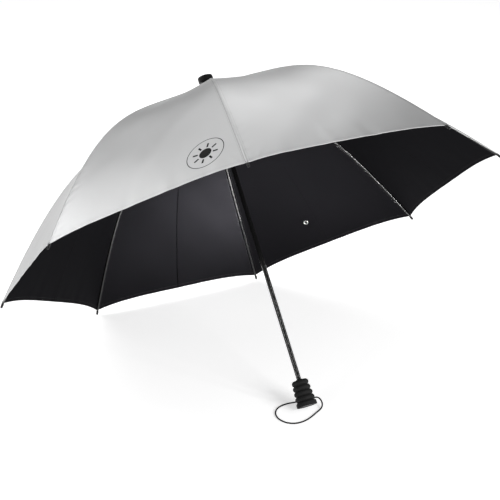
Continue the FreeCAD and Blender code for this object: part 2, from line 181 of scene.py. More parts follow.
def bezier(t):
    """Points of the rib curve."""
    a, b, c, d = RIB_CURVE
    t = np.asarray(t, float)[..., None]
    s = 1 - t
    return s**3 * a + 3 * s * s * t * b + 3 * s * t * t * c + t**3 * d


ARC = np.concatenate([[0], np.cumsum(np.hypot(*np.diff(bezier(CURVE_T), axis=0).T))])
RIB_LENGTH = ARC[-1]
SPLIT = 0.3938 * RIB_LENGTH


def rib_at(length):
    """Radius, height and direction (dr, dz) of the rib curve at a length along it."""
    a, b, c, d = RIB_CURVE
    t = np.interp(length, ARC, CURVE_T)
    point = bezier(t)
    t = t[..., None]
    s = 1 - t
    slope = s * s * (b - a) + 2 * s * t * (c - b) + t * t * (d - c)
    slope = slope / np.linalg.norm(slope, axis=-1, keepdims=True)
    return point[..., 0], point[..., 1], slope[..., 0], slope[..., 1]


def on_rib(k, length, height=0.0, aside=0.0):
    """Point at a height square to rib k, and aside across it, in the row's frame."""
    r, z, dr, dz = rib_at(np.asarray(length, float))
    flat = np.stack([r - dz * height, np.full_like(r, aside), z + dr * height], -1)
    return place(turn(flat, rib_angle(k)))


# ---------------------------------------------------------------- fabric surface


def smooth(x):
    """0 below 0, 1 above 1, smooth in between."""
    x = np.clip(x, 0, 1)
    return x * x * (3 - 2 * x)


PHASES = np.random.default_rng(11).uniform(0, 2 * math.pi, (RIBS + 1, 8))


def rim_length(across):
    """Length along the gore at its rim, which curves in between the tips."""
    return RIB_LENGTH - TIP_REACH - SCALLOP * (1 - np.abs(across) ** 4)


def ripple(gore, across, length, from_rib):
    """Small height of the tension wrinkles, zero at the ribs."""
    p = PHASES[gore]
    to_rim = rim_length(across) - length
    taut = 1 - across**2
    x = across * 0.16
    broad = np.sin(2 * math.pi * (x * 3.1 + length * 5.3) + p[0])
    broad += 0.8 * np.sin(2 * math.pi * (x * -6.7 + length * 4.1) + p[1])
    broad += 0.6 * np.sin(2 * math.pi * (x * 9.3 + length * 8.9) + p[2])
    rim = np.sin(2 * math.pi * x / 0.043 + p[3]) + 0.7 * np.sin(2 * math.pi * x / 0.027 + p[4])
    pucker = np.sin(2 * math.pi * length / 0.0113 + p[5])
    pucker = pucker * np.sin(2 * math.pi * length / 0.047 + p[6])
    beside = from_rib / 0.006
    corner = np.exp(-(to_rim**2 + (from_rib * 1.3) ** 2) / 0.05**2)
    fan = np.sin(np.arctan2(from_rib, to_rim + 0.02) * 17 + p[7])
    return (
        0.00022 * taut * broad
        + 0.00022 * taut * np.exp(-to_rim / 0.03) * rim
        + 0.00008 * smooth(length / 0.25) * beside * np.exp(1 - beside) * pucker
        + 0.00009 * corner * fan * smooth(from_rib / 0.012)
    )


def fabric(gore, across, length, height):
    """Points of a gore's surface, in the row's frame.

    Gore n runs from rib n, where across is -1, to the next rib, where it is 1.
    """
    r, z, dr, dz = rib_at(length)
    from_rib = (1 - np.abs(across)) * r * SIN_HALF
    facet = np.stack([-dz, 0 * dz, dr * COS_HALF], -1)
    ridge = np.stack([-dz * COS_HALF, -dz * SIN_HALF * np.sign(across), dr], -1)
    share = smooth(from_rib / 0.005)[..., None]
    normal = ridge * (1 - share) + facet * share
    normal /= np.linalg.norm(normal, axis=-1, keepdims=True)
    sag = PANEL_SAG * np.sin(math.pi * np.sqrt(length / RIB_LENGTH)) * (1 - across**2)
    base = np.stack([r * COS_HALF, across * r * SIN_HALF, z], -1)
    lift = height - sag + ripple(gore, across, length, from_rib)
    return place(turn(base + normal * lift[..., None], rib_angle(gore) + HALF))


def fabric_normal(gore, across, length, height):
    """Unit normals of fabric(), outward, by central differences."""
    step = 0.0004
    low, high = np.clip(across - step * 2, -1, 1), np.clip(across + step * 2, -1, 1)
    along_u = fabric(gore, high, length, height) - fabric(gore, low, length, height)
    near, far = length - step, length + step
    along_l = fabric(gore, across, far, height) - fabric(gore, across, near, height)
    normal = np.cross(along_l, along_u)
    normal /= np.linalg.norm(normal, axis=-1, keepdims=True)
    return normal


# ---------------------------------------------------------------- meshes


def link(obj):
    bpy.context.scene.collection.objects.link(obj)
    return obj


def mesh_object(name, verts, faces, material_list, indices=None):
    """Object from points in the row's frame."""
    mesh = bpy.data.meshes.new(name)
    mesh.from_pydata([tuple(v) for v in verts], [], [tuple(f) for f in faces])
    for m in material_list:
        mesh.materials.append(m)
    if indices is not None:
        mesh.polygons.foreach_set("material_index", indices)
    mesh.polygons.foreach_set("use_smooth", [True] * len(mesh.polygons))
    mesh.update()
    return link(bpy.data.objects.new(name, mesh))


def grid_faces(rows, cols, offset=0, flip=False):
    """Quads of a grid of points stored row by row."""
    i, j = np.meshgrid(np.arange(rows - 1), np.arange(cols - 1), indexing="ij")
    a = (i * cols + j).ravel() + offset
    quads = np.stack([a, a + 1, a + cols + 1, a + cols], -1)
    return quads[:, ::-1] if flip else quads


def slab(name, top, bottom, top_normal, bottom_normal, uvs, material_list):
    """Closed thin sheet between two grids; faces 0 on top, 1 below, 0 round the edge."""
    rows, cols = top.shape[:2]
    count = rows * cols
    verts = np.concatenate([top.reshape(-1, 3), bottom.reshape(-1, 3)])
    face_normal = np.cross(top[0, 1] - top[0, 0], top[1, 0] - top[0, 0])
    flip = face_normal @ top_normal[0, 0] < 0
    above = grid_faces(rows, cols, 0, flip)
    below = grid_faces(rows, cols, count, not flip)
    index = np.arange(count).reshape(rows, cols)
    loop = np.concatenate([index[0, :-1], index[:-1, -1], index[-1, :0:-1], index[:0:-1, 0]])
    ahead = np.roll(loop, -1)
    edge = np.stack([ahead, loop, loop + count, ahead + count], -1)
    if flip:
        edge = edge[:, ::-1]
    faces = np.concatenate([above, below, edge])
    kinds = np.repeat([0, 1, 0], [len(above), len(below), len(edge)])
    obj = mesh_object(name, verts, faces, material_list, kinds)
    mesh = obj.data
    corner = faces.ravel()
    for map_name, uv in uvs.items():
        layer = mesh.uv_layers.new(name=map_name)
        flat_uv = np.concatenate([uv.reshape(-1, 2)] * 2)
        layer.data.foreach_set("uv", flat_uv[corner].ravel())
    normals = np.concatenate([top_normal.reshape(-1, 3), bottom_normal.reshape(-1, 3)])[corner]
    p = verts[edge]
    edge_normal = np.cross(p[:, 1] - p[:, 0], p[:, 2] - p[:, 1])
    edge_normal /= np.linalg.norm(edge_normal, axis=-1, keepdims=True) + 1e-12
    normals[-4 * len(edge):] = np.repeat(edge_normal, 4, axis=0)
    mesh.normals_split_custom_set(normals.tolist())
    return obj


def ring_faces(bands, count, sides):
    """Quads between neighbouring rings of a stack of count rings."""
    faces = []
    for i in range(bands):
        low, high = i * sides, (i + 1) % count * sides
        for j in range(sides):
            n = (j + 1) % sides
            faces.append((low + j, low + n, high + n, high + j))
    return faces


def tube(path, radius, sides):
    """Points and faces of a tube along a path, with flat ends."""
    path = np.asarray(path, float)
    count = len(path)
    heading = np.gradient(path, axis=0)
    heading /= np.linalg.norm(heading, axis=1, keepdims=True)
    side = np.cross(heading[0], (0.3, 0.5, 0.81))
    rings = []
    radii = np.broadcast_to(radius, (count,))
    angles = np.linspace(0, 2 * math.pi, sides, endpoint=False)
    for i in range(count):
        side = side - heading[i] * (side @ heading[i])
        side /= np.linalg.norm(side)
        other = np.cross(heading[i], side)
        spoke = np.outer(np.cos(angles), side) + np.outer(np.sin(angles), other)
        rings.append(path[i] + spoke * radii[i])
    faces = ring_faces(count - 1, count, sides)
    faces.append(tuple(range(sides - 1, -1, -1)))
    last = (count - 1) * sides
    faces.append(tuple(range(last, last + sides)))
    return np.concatenate(rings), faces


def lathe(profile, sides):
    """Points and quads of a closed surface of revolution about the shaft from (radius, height)."""
    angles = np.linspace(0, 2 * math.pi, sides, endpoint=False)
    verts = []
    for r, z in profile:
        verts += [(r * math.cos(a), r * math.sin(a), z) for a in angles]
    return np.array(verts), ring_faces(len(profile), len(profile), sides)


# ---------------------------------------------------------------- materials


class Nodes:
    """A material's node tree, with short ways to add and join nodes."""

    def __init__(self, name):
        self.material = bpy.data.materials.new(name)
        self.material.use_nodes = True
        self.tree = self.material.node_tree
        self.shader = self.tree.nodes["Principled BSDF"]

    def put(self, socket, value):
        if isinstance(value, bpy.types.NodeSocket):
            self.tree.links.new(value, socket)
        else:
            socket.default_value = value

    def math(self, operation, a, b=0.0):
        node = self.tree.nodes.new("ShaderNodeMath")
        node.operation = operation
        self.put(node.inputs[0], a)
        self.put(node.inputs[1], b)
        return node.outputs[0]

    def ramp(self, value, low, high, to_low=0.0, to_high=1.0, kind="SMOOTHSTEP"):
        node = self.tree.nodes.new("ShaderNodeMapRange")
        node.interpolation_type = kind
        self.put(node.inputs["Value"], value)
        limits = {"From Min": low, "From Max": high, "To Min": to_low, "To Max": to_high}
        for name, number in limits.items():
            self.put(node.inputs[name], number)
        return node.outputs["Result"]

    def mix(self, factor, a, b):
        node = self.tree.nodes.new("ShaderNodeMix")
        node.data_type = "RGBA"
        self.put(node.inputs[0], factor)
        self.put(node.inputs[6], a)
        self.put(node.inputs[7], b)
        return node.outputs[2]

    def noise(self, scale, detail=3.0, vector=None, roughness=0.5):
        node = self.tree.nodes.new("ShaderNodeTexNoise")
        node.inputs["Scale"].default_value = scale
        node.inputs["Detail"].default_value = detail
        node.inputs["Roughness"].default_value = roughness
        vector = vector or self.position()
        self.tree.links.new(vector, node.inputs["Vector"])
        return node.outputs["Fac"]

    def position(self):
        """Place on the object, in metres of the row's frame."""
        return self.tree.nodes.new("ShaderNodeTexCoord").outputs["Object"]

    def split(self, vector):
        node = self.tree.nodes.new("ShaderNodeSeparateXYZ")
        self.tree.links.new(vector, node.inputs[0])
        return node.outputs

    def uv(self, name):
        node = self.tree.nodes.new("ShaderNodeUVMap")
        node.uv_map = name
        return node.outputs["UV"]

    def bump(self, height, strength, distance, normal=None):
        node = self.tree.nodes.new("ShaderNodeBump")
        node.inputs["Strength"].default_value = strength
        node.inputs["Distance"].default_value = distance
        self.tree.links.new(height, node.inputs["Height"])
        if normal is not None:
            self.tree.links.new(normal, node.inputs["Normal"])
        return node.outputs["Normal"]

    def set(self, **values):
        for key, value in values.items():
            self.put(self.shader.inputs[key.replace("_", " ")], value)
        return self


def grey(value, warm=0.0):
    return (value * (1 + warm), value, value * (1 - warm), 1.0)


def band(n, value, centre, half, soft):
    """1 within half of centre, falling to 0 over soft."""
    off = n.math("ABSOLUTE", n.math("SUBTRACT", value, centre))
    return n.ramp(off, half, half + soft, 1.0, 0.0)


def dashes(n, along):
    """1 on each stitch and 0 in the gaps between."""
    phase = n.math("FRACT", n.math("DIVIDE", along, STITCH_PITCH))
    off = n.math("ABSOLUTE", n.math("SUBTRACT", phase, 0.5))
    return n.ramp(off, STITCH_SHARE / 2 - 0.06, STITCH_SHARE / 2 + 0.06, 1.0, 0.0)


def weave(n, u, v):
    """Height of a plain weave, from two crossed waves."""
    a = n.math("SINE", n.math("MULTIPLY", u, math.pi / WEAVE_PITCH))
    b = n.math("SINE", n.math("MULTIPLY", v, math.pi / WEAVE_PITCH))
    return n.math("MULTIPLY", a, b)


# Emblem: the middle and the size of a plain sun badge on one gore, on its flat cut.
EMBLEM_GORE = 5
EMBLEM_AT = (0.1075, 0.5020)
EMBLEM_R = 0.034
SUN_R = 0.0112
RAYS = 8
RAYS_AT = 0.0190
RAY_HALF = 0.0046

# The gore that was folded sharply before it was opened; its lining gets the full crease with its
# painted shade, the others 0.15 of it.
FOLD_GORE = 2


def stitching(n, from_rib, to_rim, across, along):
    """Where thread shows: a row on each side of a seam and one on the hem."""
    seam = band(n, from_rib, SEAM_ROW, 0.00022, 0.0001)
    seam = n.math("MULTIPLY", seam, dashes(n, along))
    hem = band(n, to_rim, HEM_ROW, 0.00022, 0.0001)
    hem = n.math("MULTIPLY", hem, dashes(n, across))
    return n.math("MAXIMUM", seam, hem)


def sun_badge(n, across, along):
    """A thin ring round a small sun with eight rays."""
    x = n.math("SUBTRACT", across, EMBLEM_AT[0])
    y = n.math("SUBTRACT", along, EMBLEM_AT[1])
    away = n.math("SQRT", n.math("ADD", n.math("MULTIPLY", x, x), n.math("MULTIPLY", y, y)))
    angle = n.math("ARCTAN2", y, x)
    ring = band(n, away, EMBLEM_R, 0.0006, 0.0002)
    disc = n.ramp(away, SUN_R, SUN_R + 0.0003, 1.0, 0.0)
    turned = n.math("ADD", n.math("MULTIPLY", angle, RAYS / (2 * math.pi)), RAYS + 0.25)
    phase = n.math("FRACT", turned)
    off = n.math("ABSOLUTE", n.math("SUBTRACT", phase, 0.5))
    width = n.math("MULTIPLY", n.math("MULTIPLY", off, away), 2 * math.pi / RAYS)
    ray = n.ramp(width, 0.0016, 0.0019, 1.0, 0.0)
    rays = n.math("MULTIPLY", ray, band(n, away, RAYS_AT, RAY_HALF, 0.0003))
    return n.math("MAXIMUM", ring, n.math("MAXIMUM", disc, rays))


def silver_cloth(name, badge):
    """Aluminium-coated outside of the canopy."""
    n = Nodes(name)
    cut = n.uv("cut")
    across, along, _ = n.split(cut)
    from_rib, to_rim, _ = n.split(n.uv("edges"))
    thread = stitching(n, from_rib, to_rim, across, along)
    cloudy = n.noise(9.0, 4.0)
    speckle = n.noise(900.0, 2.0)
    colour = n.mix(cloudy, grey(0.450, -0.006), grey(0.490, -0.004))
    colour = n.mix(n.math("MULTIPLY", speckle, 0.10), colour, grey(0.34))
    # Lighter band along the rim: a painted highlight where the hem edge catches the light.
    hem_highlight = n.ramp(to_rim, 0.0, 0.0022, 0.35, 0.0)
    colour = n.mix(hem_highlight, colour, grey(0.66))
    # Darker line along one edge of each seam: painted shade where the cloth turns under the seam.
    beside_seam = band(n, from_rib, 0.0022, 0.0004, 0.0004)
    seam_edge_shade = n.math("MULTIPLY", beside_seam, n.ramp(across, 0.0, 0.001))
    colour = n.mix(n.math("MULTIPLY", seam_edge_shade, 0.45), colour, grey(0.12))
    shine, gloss = 0.62, 0.5
    if badge:
        printed = sun_badge(n, across, along)
        colour = n.mix(printed, colour, grey(0.005))
        shine = n.math("MULTIPLY", n.math("SUBTRACT", 1.0, printed), shine)
        gloss = n.ramp(printed, 0.0, 1.0, 0.5, 0.05)
    colour = n.mix(n.math("MULTIPLY", thread, 0.75), colour, grey(0.30))
    rough = n.ramp(cloudy, 0.3, 0.7, 0.35, 0.41, "LINEAR")
    rough = n.math("ADD", rough, n.math("MULTIPLY", speckle, 0.05))
    cloth = n.bump(weave(n, across, along), 0.12, 0.00003)
    crumple = n.bump(n.noise(55.0, 5.0, roughness=0.55), 0.10, 0.0012, cloth)
    sewn = n.bump(thread, 0.5, 0.0003, crumple)
    n.set(Base_Color=colour, Roughness=rough, Normal=sewn)
    n.set(Metallic=shine, Specular_IOR_Level=gloss)
    return n.material


def silver_plain():
    """The same coated cloth on the small patch at the crown."""
    n = Nodes("silver_cloth_patch")
    cloudy = n.noise(40.0, 4.0)
    colour = n.mix(cloudy, grey(0.440, -0.006), grey(0.480, -0.004))
    x, y, _ = n.split(n.position())
    cloth = n.bump(weave(n, x, y), 0.12, 0.00003)
    crumple = n.bump(n.noise(160.0, 4.0), 0.15, 0.0006, cloth)
    rough = n.ramp(cloudy, 0.3, 0.7, 0.40, 0.47, "LINEAR")
    n.set(Base_Color=colour, Roughness=rough, Normal=crumple, Metallic=0.62, Specular_IOR_Level=0.5)
    return n.material


def black_lining(name, sharp):
    """Dark coated inside of the canopy, with a fold line down the middle of each gore, darkened with
    painted shade.
    """
    n = Nodes(name)
    cut = n.uv("cut")
    across, along, _ = n.split(cut)
    from_rib, to_rim, _ = n.split(n.uv("edges"))
    thread = stitching(n, from_rib, to_rim, across, along)
    crease_and_shade = band(n, across, 0.0, 0.0006, 0.0007)
    broken = n.ramp(n.noise(160.0, 2.0), 0.35, 0.62, 0.35, 1.0)
    crease_and_shade = n.math("MULTIPLY", n.math("MULTIPLY", crease_and_shade, broken), sharp)
    cloudy = n.noise(7.0, 4.0)
    speckle = n.noise(700.0, 2.0)
    colour = n.mix(cloudy, (0.0078, 0.0076, 0.0088, 1), (0.0098, 0.0095, 0.0110, 1))
    # Darker colour along the crease: painted shade in the fold.
    colour = n.mix(crease_and_shade, colour, grey(0.0008))
    colour = n.mix(n.math("MULTIPLY", thread, 0.8), colour, grey(0.045))
    rough = n.ramp(cloudy, 0.3, 0.7, 0.36, 0.43, "LINEAR")
    rough = n.math("ADD", rough, n.math("MULTIPLY", speckle, 0.05))
    cloth = n.bump(weave(n, across, along), 0.15, 0.00003)
    folded = n.bump(crease_and_shade, 0.9, 0.0010, cloth)
    crumple = n.bump(n.noise(50.0, 5.0, roughness=0.55), 0.12, 0.0012, folded)
    sewn = n.bump(thread, 0.5, 0.0003, crumple)
    gloss = n.math("MULTIPLY", n.math("SUBTRACT", 1.0, crease_and_shade), 0.10)
    n.set(Base_Color=colour, Roughness=rough, Normal=sewn, Specular_IOR_Level=gloss)
    n.set(Metallic=0.85, Specular_Tint=grey(0.5))
    return n.material


def anodised():
    """Glossy black anodised tube, with faint drawing lines along it."""
    n = Nodes("shaft_anodised")
    mapping = n.tree.nodes.new("ShaderNodeMapping")
    n.put(mapping.inputs["Vector"], n.position())
    mapping.inputs["Rotation"].default_value = UMBRELLA_EULER
    mapping.inputs["Scale"].default_value = (900, 900, 6)
    lines = n.noise(1.0, 2.0, mapping.outputs["Vector"])
    wear = n.ramp(n.noise(60.0, 6.0), 0.62, 0.72)
    colour = n.mix(n.math("MULTIPLY", wear, 0.35), grey(0.006), grey(0.03))
    rough = n.math("ADD", n.ramp(lines, 0.3, 0.7, 0.09, 0.14, "LINEAR"), n.math("MULTIPLY", wear, 0.08))
    n.set(Base_Color=colour, Roughness=rough, Specular_IOR_Level=0.5)
    n.set(Normal=n.bump(lines, 0.02, 0.00005))
    n.set(Coat_Weight=0.15, Coat_Roughness=0.06)
    return n.material


def rib_rod():
    """Grey pultruded glass-fibre rod: fibres along it under a clear resin skin."""
    n = Nodes("rib_fibre_rod")
    fibres = n.noise(1400.0, 3.0)
    cloudy = n.noise(30.0, 3.0)
    colour = n.mix(fibres, grey(0.035, 0.005), grey(0.075, 0.008))
    colour = n.mix(n.math("MULTIPLY", cloudy, 0.3), colour, grey(0.025))
    rough = n.ramp(cloudy, 0.3, 0.7, 0.20, 0.32, "LINEAR")
    n.set(Base_Color=colour, Roughness=rough, Specular_IOR_Level=0.4)
    n.set(Normal=n.bump(fibres, 0.03, 0.00005))
    n.set(Coat_Weight=0.2, Coat_Roughness=0.25)
    return n.material


def zinc():
    """Plated steel of the stretchers: bright, with grey wear where it is handled."""
    n = Nodes("stretcher_plated")
    cloudy = n.noise(45.0, 5.0)
    colour = n.mix(cloudy, grey(0.30), grey(0.46, 0.01))
    colour = n.mix(n.ramp(n.noise(260.0, 3.0), 0.6, 0.7), colour, grey(0.20))
    rough = n.ramp(cloudy, 0.3, 0.7, 0.24, 0.42, "LINEAR")
    n.set(Base_Color=colour, Roughness=rough, Normal=n.bump(n.noise(800.0), 0.06, 0.0001), Metallic=0.9)
    return n.material


def spring_steel():
    """Bare spring steel of the catches and hinge wires."""
    n = Nodes("spring_steel_bare")
    cloudy = n.noise(120.0, 4.0)
    colour = n.mix(cloudy, grey(0.42), grey(0.55, 0.01))
    rough = n.ramp(cloudy, 0.3, 0.7, 0.22, 0.36, "LINEAR")
    n.set(Base_Color=colour, Roughness=rough, Normal=n.bump(n.noise(900.0), 0.05, 0.0001), Metallic=1.0)
    return n.material


def moulded():
    """Black injection-moulded nylon with a fine spark-eroded grain and rubbed high spots."""
    n = Nodes("moulded_nylon")
    grain = n.noise(1100.0, 3.0)
    cloudy = n.noise(60.0, 4.0)
    colour = n.mix(cloudy, grey(0.0045), grey(0.0080))
    colour = n.mix(n.ramp(n.noise(190.0, 5.0), 0.64, 0.74, 0.0, 0.5), colour, grey(0.020))
    rough = n.ramp(cloudy, 0.3, 0.7, 0.36, 0.52, "LINEAR")
    n.set(Base_Color=colour, Roughness=rough, Specular_IOR_Level=0.25)
    n.set(Normal=n.bump(grain, 0.25, 0.0002))
    return n.material


def foam():
    """Closed-cell foam: matt, with small cells and a slightly greyer rubbed skin."""
    n = Nodes("foam_closed_cell")
    cells = n.tree.nodes.new("ShaderNodeTexVoronoi")
    cells.inputs["Scale"].default_value = 1500.0
    n.put(cells.inputs["Vector"], n.position())
    pits = n.ramp(cells.outputs["Distance"], 0.15, 0.55)
    cloudy = n.noise(70.0, 5.0)
    colour = n.mix(cloudy, grey(0.0030), grey(0.0060))
    colour = n.mix(n.math("MULTIPLY", pits, 0.35), colour, grey(0.012))
    rough = n.ramp(cloudy, 0.3, 0.7, 0.66, 0.82, "LINEAR")
    soft = n.bump(cloudy, 0.25, 0.0008)
    n.set(Base_Color=colour, Roughness=rough, Normal=n.bump(pits, 0.45, 0.0003, soft))
    n.set(Specular_IOR_Level=0.28, Sheen_Weight=0.02, Sheen_Roughness=0.5)
    return n.material


def braid(name, tone):
    """Braided or twisted black thread: slanted ridges round the cord, with painted shade in the
    grooves.
    """
    n = Nodes(name)
    along = n.tree.nodes.new("ShaderNodeTexCoord").outputs["UV"]
    u, v, _ = n.split(along)
    lengthwise = n.math("MULTIPLY", u, 900.0)
    around = n.math("MULTIPLY", v, 12.566)
    left = n.math("SINE", n.math("ADD", lengthwise, around))
    right = n.math("SINE", n.math("SUBTRACT", lengthwise, around))
    ridge = n.math("MAXIMUM", left, right)
    fuzz = n.noise(1800.0, 3.0)
    # Grooves between the ridges darken to half the tone: painted shade between the strands.
    colour = n.mix(n.ramp(ridge, -0.2, 1.0), grey(tone * 0.5), grey(tone))
    colour = n.mix(n.math("MULTIPLY", fuzz, 0.4), colour, grey(tone * 1.8))
    both = n.math("ADD", ridge, n.math("MULTIPLY", fuzz, 0.5))
    rough = n.ramp(fuzz, 0.3, 0.7, 0.62, 0.80, "LINEAR")
    n.set(Base_Color=colour, Roughness=rough, Normal=n.bump(both, 0.4, 0.0002))
    n.set(Specular_IOR_Level=0.2, Sheen_Weight=0.04, Sheen_Roughness=0.45)
    return n.material


def thread():
    """Twisted sewing thread of the ties."""
    n = Nodes("tie_thread")
    fuzz = n.noise(2200.0, 3.0)
    colour = n.mix(fuzz, grey(0.006), grey(0.022))
    rough = n.ramp(fuzz, 0.3, 0.7, 0.55, 0.75, "LINEAR")
    n.set(Base_Color=colour, Roughness=rough, Normal=n.bump(fuzz, 0.5, 0.0002))
    n.set(Sheen_Weight=0.2, Sheen_Roughness=0.45)
    return n.material


def rubber():
    """Shrunk black sleeve on the ribs: smooth, with faint ripples and dust."""
    n = Nodes("rib_sleeve_black")
    cloudy = n.noise(90.0, 4.0)
    dust = n.ramp(n.noise(700.0, 4.0), 0.60, 0.75)
    colour = n.mix(cloudy, grey(0.006), grey(0.011))
    colour = n.mix(n.math("MULTIPLY", dust, 0.25), colour, grey(0.05))
    rough = n.ramp(cloudy, 0.3, 0.7, 0.26, 0.38, "LINEAR")
    n.set(Base_Color=colour, Roughness=rough, Specular_IOR_Level=0.6)
    n.set(Normal=n.bump(cloudy, 0.15, 0.0004))
    return n.material


def nickel():
    """Nickel-plated press stud."""
    n = Nodes("stud_metal")
    cloudy = n.noise(200.0, 4.0)
    colour = n.mix(cloudy, grey(0.62), grey(0.74, 0.01))
    rough = n.ramp(cloudy, 0.3, 0.7, 0.14, 0.26, "LINEAR")
    n.set(Base_Color=colour, Roughness=rough, Normal=n.bump(n.noise(900.0), 0.04, 0.0001), Metallic=1.0)
    return n.material


def studio_floor():
    """Pale floor, lit evenly from below like a photographer's white table."""
    n = Nodes("studio_floor")
    colour = n.mix(n.noise(3.0), grey(0.90), grey(0.91))
    n.set(Base_Color=colour, Roughness=0.75, Specular_IOR_Level=0.1)
    n.set(Emission_Color=grey(1.0), Emission_Strength=0.59)
    return n.material


SILVER = silver_cloth("silver_cloth", False)
SILVER_BADGE = silver_cloth("silver_cloth_badge", True)
ROSETTE = silver_plain()
LINING = black_lining("black_lining", 0.15)
LINING_FOLD = black_lining("black_lining_fold", 1.0)
ANODISED = anodised()
ROD = rib_rod()
ZINC = zinc()
STEEL = spring_steel()
NYLON = moulded()
FOAM = foam()
CORD = braid("wrist_cord_braid", 0.008)
THREAD = thread()
RUBBER = rubber()
NICKEL = nickel()

# ---------------------------------------------------------------- camera

camera_data = bpy.data.cameras.new("camera")
camera_data.lens = 107.8
camera_data.sensor_width = 36.0
camera = link(bpy.data.objects.new("camera", camera_data))
camera.location = (-1.1615, -2.2873, 1.3464)
camera.rotation_euler = Euler([math.radians(a) for a in (66.677, 0.733, -27.107)])
camera_data.clip_start = 0.05
camera_data.clip_end = 60.0
bpy.context.scene.camera = camera

# ---------------------------------------------------------------- wrist cord


def make_cord():
    """Limp cord that leaves the grip between two rings, lies on the floor and goes back in."""
    curve = bpy.data.curves.new("wrist_cord_loop", "CURVE")
    curve.dimensions = "3D"
    curve.bevel_depth = CORD_D / 2
    curve.bevel_resolution = 5
    curve.resolution_u = 10
    spline = curve.splines.new("NURBS")
    spline.points.add(len(CORD_ROUTE) - 1)
    for point, (x, y, z) in zip(spline.points, CORD_ROUTE):
        point.co = (x / 1000, (y + CORD_SHIFT_Y) / 1000, z / 1000, 1)
    spline.order_u = 3
    spline.use_endpoint_u = True
    curve.materials.append(CORD)
    obj = link(bpy.data.objects.new("wrist_cord_loop", curve))
    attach(obj, "root")
    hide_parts("wrist_cord")


make_cord()

# ---------------------------------------------------------------- canopy

COLUMNS = 28
INNER_ROWS = 36
OUTER_ROWS = 50
HEM_STEPS = np.array([0.012, HEM_W + 0.0006, HEM_W - 0.0004, HEM_ROW, 0.0045, 0.0018, 0.0005, 0.0])
SEAM_ROWS = 140
FAR_FROM_RIM = 0.05

# Tilt and slope of the pleat a half gore would make beside its rib when the umbrella is shut; gather()
# does not apply them.
GATHER_TILT = {"inner": math.radians(5.0), "outer": math.radians(8.5)}
GATHER_SLOPE = {"inner": math.radians(24.0), "outer": math.radians(38.0)}


def gather(obj, k, side, part):
    """Gives the piece its own copy of its mesh; the axis of the pleat beside its rib is worked out but
    not applied.
    """
    slope = GATHER_SLOPE[part]
    outward = np.array([math.sin(slope), 0.0, math.cos(slope)])
    lean_in = math.atan2(-SIN_HALF * math.sin(slope), COS_HALF) - GATHER_TILT[part]
    axis = np.array([0.0, side * math.cos(lean_in), 0.0]) + outward * math.sin(lean_in)
    axis = UMBRELLA_R @ turn(axis, rib_angle(k))
    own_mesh(obj)


def hem_depth(across, length, from_rib):
    """Extra thickness of the folded hem on the inside, which stops short of the rib."""
    folded = smooth((HEM_W - (rim_length(across) - length)) / 0.0008)
    return HEM_T * folded * smooth((from_rib - 0.0022) / 0.0015)


def make_half_gore(k, side, part):
    """Fabric on one side of rib k, out to the middle of the gore."""
    gore = k if side > 0 else (k - 2) % RIBS + 1
    off = np.linspace(0, 1, COLUMNS + 1) ** 1.4
    across = (side * (off - 1))[None, :]
    if part == "inner":
        rows = np.linspace(CROWN_START, SPLIT, INNER_ROWS + 1)[:, None]
        length = rows + 0 * across
    else:
        rim = rim_length(across)
        share = np.linspace(0, 1, OUTER_ROWS + 1)[:-1, None]
        plain = SPLIT + (rim - HEM_STEPS[0] - SPLIT) * share
        length = np.concatenate([plain, rim - HEM_STEPS[:, None]])
    across = across + 0 * length
    radius = rib_at(length)[0]
    from_rib = (1 - np.abs(across)) * radius * SIN_HALF
    to_rim = rim_length(across) - length
    hem = hem_depth(across, length, from_rib)
    top = fabric(gore, across, length, FABRIC_OUT + 0 * length)
    bottom = fabric(gore, across, length, FABRIC_IN - hem)
    normal = fabric_normal(gore, across, length, FABRIC_OUT + 0 * length)
    uvs = {
        "cut": np.stack([across * radius * SIN_HALF, length], -1),
        "edges": np.stack([from_rib, to_rim], -1),
    }
    outside = SILVER_BADGE if gore == EMBLEM_GORE else SILVER
    inside = LINING_FOLD if gore == FOLD_GORE else LINING
    which = "right" if side > 0 else "left"
    name = f"canopy_{part}_{k}_{which}_cloth"
    obj = slab(name, top, bottom, normal, -normal, uvs, [outside, inside])
    body = f"rib_{k}" if part == "inner" else f"rib_end_{k}"
    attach(obj, body)
    gather(obj, k, side, part)
    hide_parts(f"canopy_{part}_{k}")


for k in range(1, RIBS + 1):
    for side in (-1, 1):
        for part in ("inner", "outer"):
            make_half_gore(k, side, part)


